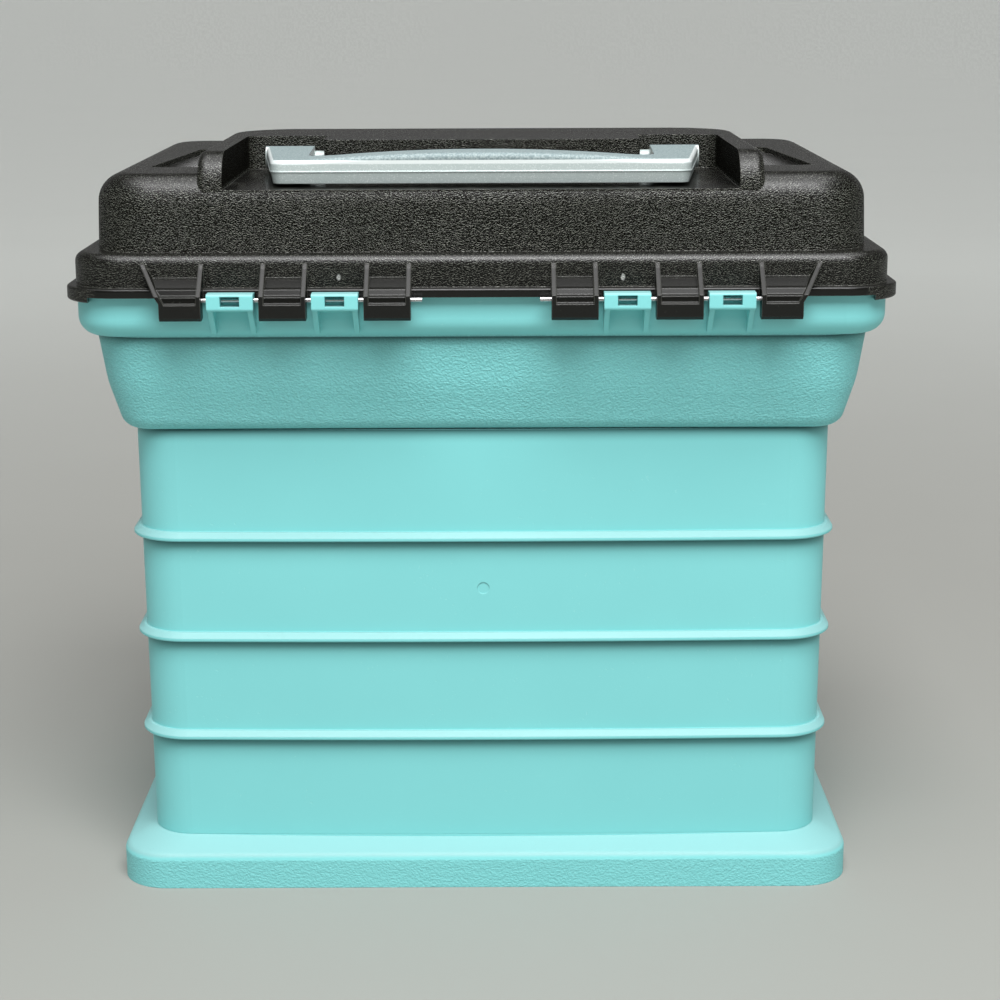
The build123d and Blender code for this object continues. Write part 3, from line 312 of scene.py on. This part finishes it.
blackSettings = {
    "colour": (0.0050, 0.0052, 0.0042, 1.0),
    "pebbleHighlight": (0.270, 0.280, 0.238, 1.0),
    "wornAndHighlight": (0.200, 0.204, 0.180, 1.0),
    "stressed": (0.62, 0.63, 0.60, 1.0),
    "edgeRadius": 0.0007,
    "edgeShare": 0.65,
    "dustNoise": (1500.0, 1.0),      # scale and detail
    "dustAndTopShadeRange": (0.72, 0.80),
    "dustShare": 0.20,
    "cloudNoise": (12.0, 3.0),
    "peelNoise": (500.0, 2.0),
    "peelDepth": 0.06,
    "roughness": 0.22,
    "cloudRoughness": 0.08,
    "heightFade": 0.001,
    "sideFade": 0.0006,
    "pocketZ": 0.3300,
    "pocketReach": (0.0003, 0.0008),
    "pocketUp": (0.96, 0.99),
    "pocketX": (0.1258, 0.1263),
    "pocketMidY": 0.060,
    "pocketTilt": 1.05,
    "pocketPolish": 0.06,
    "pocketTip": (0.129, 0.149),
    "pocketTipShade": 0.9,
    "recessZ": 0.3268,
    "recessX": 0.1135,
    "recessFloor": (0.320, 0.3215),
    "recessUp": (0.4, 0.7),
    "wallReach": (0.0008, 0.0014),
    "wallAside": (0.7, 0.9),
    "wallShade": 0.75,
    "streakLines": ((160, 30, 40), 0.6, 0.6),    # stretch, roughness and bend
    "streakRange": (0.45, 0.75),
    "streakShare": 0.14,
    "lugY": 0.1252,
    "lugTop": (0.295, 0.297),
    "lugShade": 0.34,
    "insideTop": (0.3255, 0.3265),
    "insideUp": (0.4, 0.6),
    "underside": (-0.35, -0.25),
    "bandTop": (0.296, 0.299),
    "bandShare": 0.68,               # of the grain's strength above the band
    "lyingRange": (0.15, 0.75),
    "lyingLoss": 0.65,
    "grainSize": 0.00056,
    "grainAlong": 0.70,
    "grainAcross": 1.25,
    "grainLean": 0.45,
    "grainMid": 0.31,
    "grainDepth": 0.00009,
    "pebbleHighlightRange": (0.06, 0.20),
    "pebbleHighlightShare": 0.85,
    "pebbleShadeRange": (0.0, 0.11),
    "pebbleShadeShare": 0.97,
    "stressMarks": [(0.0620, 0.2890), (-0.0616, 0.2886)],
    "stressSize": (0.0007, 0.0012),
    "stressHeight": 0.45,            # below 1 it makes the mark taller than wide
    "stressFray": 0.0010,
    "stressY": (0.10, 0.11),
    "refraction": 1.47,
    "coatRoughness": 0.18,
}


# 1 inside each zone of the lid: the end pockets, the handle's recess, the hinge lugs and the inside.
def lidZones(f):
    s = blackSettings
    pocket = abs(f.z - s["pocketZ"]).fall(*s["pocketReach"]) * f.outZ.ramp(*s["pocketUp"])
    pocket = pocket * abs(f.x).ramp(*s["pocketX"])
    recess = f.z.fall(s["recessZ"], s["recessZ"] + s["heightFade"])
    recess = recess * abs(f.x).fall(s["recessX"] - s["sideFade"], s["recessX"])
    recess = recess * f.z.ramp(*s["recessFloor"]) * f.outZ.ramp(*s["recessUp"])
    lugs = f.y.ramp(s["lugY"], s["lugY"] + s["sideFade"]) * f.z.fall(*s["lugTop"])
    # inside are the walls that face inward below the recess, and the ceiling, which faces down
    inside = (1 - f.outward()) * f.z.fall(*s["insideTop"]) * f.outZ.fall(*s["insideUp"])
    inside = (inside + f.outZ.fall(*s["underside"])).atMost(1.0)
    return pocket, recess, lugs, inside


# Adds what only the lid has. The peel is the noise that also frays the stress marks.
def grainedLid(f, colour, rough, height, peel):
    s = blackSettings
    pocket, recess, lugs, inside = lidZones(f)
    zone = (1 - pocket) * (1 - recess) * (1 - lugs) * (1 - inside)
    grain, slope = f.leather(s, s["grainMid"])
    # softer grain on the band, and shallower where the surface starts to face up
    level = 1 - f.outZ.ramp(*s["lyingRange"]) * s["lyingLoss"]
    level = level * (f.z.ramp(*s["bandTop"]) * (1 - s["bandShare"]) + s["bandShare"])
    height = height + zone * grain * level
    # painted highlight on the pebbles' upper slopes, and painted shade (the flat black) on their lower
    # slopes
    colour = (zone * slope.ramp(*s["pebbleHighlightRange"]) * level * s["pebbleHighlightShare"]).blendOf(colour, s["pebbleHighlight"])
    paintedShade = zone * level * slope.fall(*s["pebbleShadeRange"]) * s["pebbleShadeShare"]
    # painted shade: the recess's side walls are darkened to flat black, and so are the lugs in part
    wall = abs(abs(f.x) - s["recessX"]).fall(*s["wallReach"])
    wall = wall * f.z.ramp(s["recessZ"], s["recessZ"] + s["heightFade"]) * abs(f.outX).ramp(*s["wallAside"])
    paintedShade = (paintedShade + wall * s["wallShade"] + lugs * s["lugShade"]).atMost(1.0)
    # the pocket's polished floor slopes towards the hinge side, and painted shade darkens it towards its tip
    height = height + pocket * (f.y - s["pocketMidY"]) * (-s["pocketTilt"] / s["grainDepth"])
    rough = rough - pocket * s["pocketPolish"]
    paintedShade = paintedShade + pocket * abs(f.x).ramp(*s["pocketTip"]) * s["pocketTipShade"]
    streaks = f.drawnOut(*s["streakLines"]).ramp(*s["streakRange"])
    colour = (recess * streaks * s["streakShare"]).blendOf(colour, s["wornAndHighlight"])
    for markX, markZ in s["stressMarks"]:
        aside = f.x - markX
        above = f.z - markZ
        reach = (aside * aside + above * above * s["stressHeight"]) ** 0.5 + (peel - 0.5) * s["stressFray"]
        mark = reach.fall(*s["stressSize"]) * f.y.ramp(*s["stressY"])
        colour = mark.blendOf(colour, s["stressed"])
    return colour, rough, height, paintedShade, pocket


def blackMoulding(name, grained):
    s = blackSettings
    f = Finish(name)
    soft = f.softEdges(s["edgeRadius"])
    edges = f.edgeMask(soft)
    dust = f.noise(*s["dustNoise"]).ramp(*s["dustAndTopShadeRange"])
    clouds = f.noise(*s["cloudNoise"])
    peel = f.noise(*s["peelNoise"])
    height = peel * s["peelDepth"]
    rough = s["roughness"] + clouds * s["cloudRoughness"]
    # painted highlight: on the black, edges take the pale colour, as gloss that catches along them; the dust
    # specks are real dust
    marks = (edges * s["edgeShare"] + dust * s["dustShare"]).atMost(1.0)
    colour = marks.blendOf(s["colour"], s["wornAndHighlight"])
    paintedShade = 0.0
    polish = 0.0
    if grained:
        colour, rough, height, paintedShade, polish = grainedLid(f, colour, rough, height, peel)
    normal = f.bump(height, s["grainDepth"], soft)
    return f.done(paintedShade, Base_Color=colour, Roughness=rough, Normal=normal, IOR=s["refraction"],
                  Coat_Weight=polish, Coat_Roughness=s["coatRoughness"])


smoothBlackPieces = ["lid_latch_left", "lid_latch_right", "door_bolt_left", "door_bolt_right"]
dressed(["lid"], blackMoulding("blackLid", True))
dressed(smoothBlackPieces, blackMoulding("blackSmooth", False))
print("black moulding done")


# Silver-grey moulding: the carry handle, with fine flake in the plastic.

silverSettings = {
    "colour": (0.500, 0.575, 0.565, 1.0),
    "flake": (0.740, 0.800, 0.790, 1.0),
    "rub": (0.390, 0.445, 0.438, 1.0),
    "shadedCrown": (0.190, 0.250, 0.258, 1.0),
    "shadedCrownPale": (0.330, 0.400, 0.405, 1.0),
    "bevelHighlight": (0.800, 0.860, 0.855, 1.0),
    "edgeRadius": 0.0006,
    "edgeShare": 0.3,
    "flakeScale": 2600.0,
    "flakeRange": (0.75, 0.98),
    "flakeShare": 0.55,
    "cloudNoise": (25.0, 3.0),       # scale and detail
    "cloudRange": (0.55, 0.8),
    "cloudShare": 0.18,
    "scratchLines": ((40, 900, 900), 0.7, 0.3),  # stretch, roughness and bend
    "scratchRange": (0.66, 0.74),
    "scratchShare": 0.12,
    "bevelStart": (0.3360, 0.3365),
    "crownStart": (0.3377, 0.3380),
    "mottleNoise": (1150.0, 2.0, 0.6),     # scale, detail and roughness
    "mottleRange": (0.36, 0.66),
    "grainNoise": (1300.0, 2.0),
    "grainShare": 0.6,
    "waveNoise": (300.0, 1.0),
    "waveShare": 0.25,
    "grainDepth": 0.00010,
    "roughness": 0.36,
    "cloudRoughness": 0.08,
    "scratchRoughness": 0.1,
    "crownRoughness": 0.22,
    "metallic": 0.15,
    "refraction": 1.50,
}


def silverMoulding():
    s = silverSettings
    f = Finish("silverHandle")
    soft = f.softEdges(s["edgeRadius"])
    edges = f.edgeMask(soft)
    # every cell of this pattern is one flake, with its own shade
    values = {"Vector": f.where, "Scale": s["flakeScale"]}
    cells = f.start.add("ShaderNodeTexVoronoi", {"feature": "F1"}, values, out="Color")
    flakes = cells.parts()[0].ramp(*s["flakeRange"])
    clouds = f.noise(*s["cloudNoise"])
    scratches = f.drawnOut(*s["scratchLines"]).ramp(*s["scratchRange"])
    bright = (flakes * s["flakeShare"] + edges * s["edgeShare"]).atMost(1.0)
    colour = bright.blendOf(s["colour"], s["flake"])
    rubbed = clouds.ramp(*s["cloudRange"]) * s["cloudShare"] + scratches * s["scratchShare"]
    colour = rubbed.blendOf(colour, s["rub"])
    # painted highlight: a pale line runs straight along the grip where the bevel catches the light, and
    # above it painted shade makes the crown mottled, darker and duller, as a top that slopes away
    mottled = f.noise(*s["mottleNoise"]).ramp(*s["mottleRange"])
    mottled = mottled.blendOf(s["shadedCrown"], s["shadedCrownPale"])
    colour = f.z.ramp(*s["bevelStart"]).blendOf(colour, s["bevelHighlight"])
    shadedCrown = f.z.ramp(*s["crownStart"])
    colour = shadedCrown.blendOf(colour, mottled)
    height = f.noise(*s["grainNoise"]) * s["grainShare"] + f.noise(*s["waveNoise"]) * s["waveShare"]
    normal = f.bump(height, s["grainDepth"], soft)
    rough = s["roughness"] + clouds * s["cloudRoughness"] + scratches * s["scratchRoughness"]
    rough = rough + shadedCrown * s["crownRoughness"]
    return f.done(Base_Color=colour, Roughness=rough, Metallic=s["metallic"], Normal=normal,
                  IOR=s["refraction"])


dressed(["carry_handle"], silverMoulding())
print("silver handle done")


# Clear plastic: the compartment boxes. Thin walls look clear face on and milky at a glancing angle.

clearSettings = {
    "colour": (0.80, 0.86, 0.86, 1.0),
    "edge": (0.93, 0.97, 0.97, 1.0),
    "boxHaze": 0.02,
    "dividerHaze": 0.08,
    "thin": 0.16,
    "thick": 0.72,
    "glance": 0.42,
    "edgeRadius": 0.0005,
    "edgeShare": 0.35,
    "scratchLines": ((500, 30, 500), 0.7, 0.5),  # stretch, roughness and bend
    "scratchRange": (0.64, 0.74),
    "scratchShare": 0.10,
    "hazeNoise": (30.0, 2.0),        # scale and detail
    "hazeRange": (0.35, 0.75),
    "hazeShare": 0.08,
    "roughness": 0.12,
    "scratchRoughness": 0.2,
    "smearNoise": (80.0, 2.0),
    "smearRange": (0.4, 0.8),
    "smearRoughness": 0.05,
    "waveNoise": (160.0, 1.0),
    "waveDepth": 0.00012,
    "refraction": 1.49,
}


def clearMoulding(name, leastHaze):
    s = clearSettings
    f = Finish(name)
    soft = f.softEdges(s["edgeRadius"])
    edges = f.edgeMask(soft)
    glance = f.start.add("ShaderNodeLayerWeight", None, {"Blend": s["glance"]}, out="Facing")
    scratches = f.drawnOut(*s["scratchLines"]).ramp(*s["scratchRange"])
    haze = f.noise(*s["hazeNoise"]).ramp(*s["hazeRange"]) * s["hazeShare"] + scratches * s["scratchShare"]
    haze = haze + leastHaze
    cover = (haze + s["thin"] + glance * (s["thick"] - s["thin"]) + edges * s["edgeShare"]).atMost(1.0)
    colour = edges.blendOf(s["colour"], s["edge"])
    smears = f.noise(*s["smearNoise"]).ramp(*s["smearRange"])
    rough = s["roughness"] + scratches * s["scratchRoughness"] + smears * s["smearRoughness"]
    normal = f.bump(f.noise(*s["waveNoise"]), s["waveDepth"], soft)
    return f.done(Base_Color=colour, Roughness=rough, Alpha=cover, Normal=normal, IOR=s["refraction"])


clearBox = clearMoulding("clearBox", clearSettings["boxHaze"])
clearDivider = clearMoulding("clearDivider", clearSettings["dividerHaze"])
for number in "1234":
    dressed(["box_tray_" + number, "box_cover_" + number], clearBox)
    dressed(["box_dividers_" + number], clearDivider)
    dressed(["box_latch_left_" + number, "box_latch_right_" + number], clearDivider)
print("clear boxes done")


# Drawn steel: the hinge wires and the pins, with draw lines along X.

steelSettings = {
    "dark": (0.42, 0.42, 0.43, 1.0),
    "pale": (0.66, 0.66, 0.67, 1.0),
    "spot": (0.20, 0.18, 0.16, 1.0),
    "drawLines": ((25, 6000, 6000), 0.6, 0.0),   # stretch, roughness and bend
    "lineRange": (0.4, 0.7),
    "lineDepth": 0.00004,
    "spotNoise": (400.0, 2.0),       # scale and detail
    "spotRange": (0.62, 0.74),
    "spotShare": 0.4,
    "roughness": 0.26,
    "spotRoughness": 0.25,
}


def drawnSteel():
    s = steelSettings
    f = Finish("drawnSteel")
    lines = f.drawnOut(*s["drawLines"])
    spots = f.noise(*s["spotNoise"]).ramp(*s["spotRange"])
    colour = lines.ramp(*s["lineRange"]).blendOf(s["dark"], s["pale"])
    colour = (spots * s["spotShare"]).blendOf(colour, s["spot"])
    rough = s["roughness"] + spots * s["spotRoughness"]
    return f.done(Base_Color=colour, Roughness=rough, Metallic=1.0, Normal=f.bump(lines, s["lineDepth"]))


steelPieces = ["hinge_wire_left", "hinge_wire_right", "lid_latch_pin_left", "lid_latch_pin_right"]
dressed(steelPieces + ["door_hinge_pins"], drawnSteel())
print("steel done")


# The studio: a plain pale floor that also fills the picture's background, a high soft sun, a broad lamp
# above the camera and a dim even sky. Glossy surfaces mirror another sky, which is bright overhead and
# has a faint band low down on the far side.

studioSettings = {
    "floorHalf": 80.0,
    "floorNear": (0.332, 0.332, 0.309, 1.0),
    "floorFar": (0.700, 0.724, 0.690, 1.0),
    "farRange": (0.2, 2.5),
    "patchNoise": (3.0, 4.0),        # scale and detail
    "patchShare": 0.08,
    "floorRoughness": 0.9,
    "backdrop": (0.470, 0.487, 0.463, 1.0),
    "skyStrength": 0.32,
    "mirrorBack": 0.06,
    "mirrorTop": 3.20,
    "mirrorTopRise": (0.74, 0.97),
    "mirrorBand": 0.18,
    "mirrorBandRise": (0.10, 0.50),
    "mirrorBandAhead": (0.0, 0.6),
    "sunStrength": 1.00,
    "sunSpread": 26.0,
    "sunRise": 72.0,
    "sunSwing": 14.0,
    "lampPower": 34.5,
    "lampSize": 1.0,
    "lampPlace": (-0.20, 1.05, 1.62),
    "lampAim": (0.0, 0.10, 0.20),
}


def placed(name, data):
    piece = bpy.data.objects.new(name, data)
    bpy.context.scene.collection.objects.link(piece)
    return piece


def floorPane():
    half = studioSettings["floorHalf"]
    corners = [(-half, -half, 0), (half, -half, 0), (half, half, 0), (-half, half, 0)]
    mesh = bpy.data.meshes.new("studioFloor")
    mesh.from_pydata(corners, [], [(0, 1, 2, 3)])
    return placed("studioFloor", mesh)


def floorFinish():
    s = studioSettings
    f = Finish("paleFloor")
    # a little paler away from the lamp, so that the background stays even
    reach = (f.x * f.x + f.y * f.y) ** 0.5
    share = reach.ramp(*s["farRange"]) + (f.noise(*s["patchNoise"]) - 0.5) * s["patchShare"]
    colour = share.blendOf(s["floorNear"], s["floorFar"])
    return f.done(Base_Color=colour, Roughness=s["floorRoughness"])


# The sun stands on the camera's side of the rack, high up and a little to the picture's left.
def highSun():
    s = studioSettings
    lamp = bpy.data.lights.new("highSun", "SUN")
    lamp.energy = s["sunStrength"]
    lamp.angle = math.radians(s["sunSpread"])
    lean = math.radians(90 - s["sunRise"])
    swing = math.radians(180 - s["sunSwing"])
    placed("highSun", lamp).rotation_euler = (lean, 0.0, swing)


def broadLamp():
    s = studioSettings
    lamp = bpy.data.lights.new("broadLamp", "AREA")
    lamp.shape = "SQUARE"
    lamp.size = s["lampSize"]
    lamp.energy = s["lampPower"]
    holder = placed("broadLamp", lamp)
    holder.location = s["lampPlace"]
    towards = Vector(s["lampAim"]) - Vector(s["lampPlace"])
    holder.rotation_euler = towards.to_track_quat("-Z", "Y").to_euler()


def studioSky():
    s = studioSettings
    world = bpy.data.worlds.new("studioSky")
    bpy.context.scene.world = world
    world.use_nodes = True
    world.node_tree.nodes.clear()
    sky = Wire(world.node_tree, None)
    seen = sky.add("ShaderNodeLightPath", out="Is Camera Ray")
    shine = sky.add("ShaderNodeLightPath", out="Is Glossy Ray")
    near, rise = sky.add("ShaderNodeTexCoord", out="Generated").parts()[1:]
    band = (0 - near).ramp(*s["mirrorBandAhead"]) * rise.fall(*s["mirrorBandRise"]) * s["mirrorBand"]
    mirrored = band + rise.ramp(*s["mirrorTopRise"]) * s["mirrorTop"] + s["mirrorBack"]
    strength = shine * (mirrored - s["skyStrength"]) + s["skyStrength"]
    glow = sky.add("ShaderNodeBackground", None, {"Color": (1.0, 1.0, 1.0, 1.0), "Strength": strength})
    shown = sky.add("ShaderNodeBackground", None, {"Color": s["backdrop"], "Strength": 1.0})
    mixed = sky.add("ShaderNodeMixShader", None, {0: seen, 1: glow, 2: shown})
    sky.add("ShaderNodeOutputWorld", None, {"Surface": mixed})


floor = floorPane()
floor.data.materials.append(floorFinish())
highSun()
broadLamp()
studioSky()
print("studio done")


# The camera, at the photograph's angle: behind the rack, on the hinge side.

cameraSettings = {
    "lens": 77.4,
    "sensorWidth": 36.0,
    "farClip": 300.0,
    "place": (-0.0078, 1.0551, 0.413),
    "pitch": 13.5,
    "heading": 180.0,
    "roll": -0.22,
}


def photoCamera():
    s = cameraSettings
    lens = bpy.data.cameras.new("photoCamera")
    lens.lens = s["lens"]
    lens.sensor_width = s["sensorWidth"]
    lens.clip_end = s["farClip"]
    camera = placed("photoCamera", lens)
    turn = Euler((math.radians(90 - s["pitch"]), 0.0, math.radians(s["heading"]))).to_matrix().to_4x4()
    roll = Matrix.Rotation(math.radians(s["roll"]), 4, "Z")
    camera.matrix_world = Matrix.Translation(s["place"]) @ turn @ roll
    bpy.context.scene.camera = camera


photoCamera()
bpy.context.scene.view_settings.view_transform = "Standard"
print("camera done")
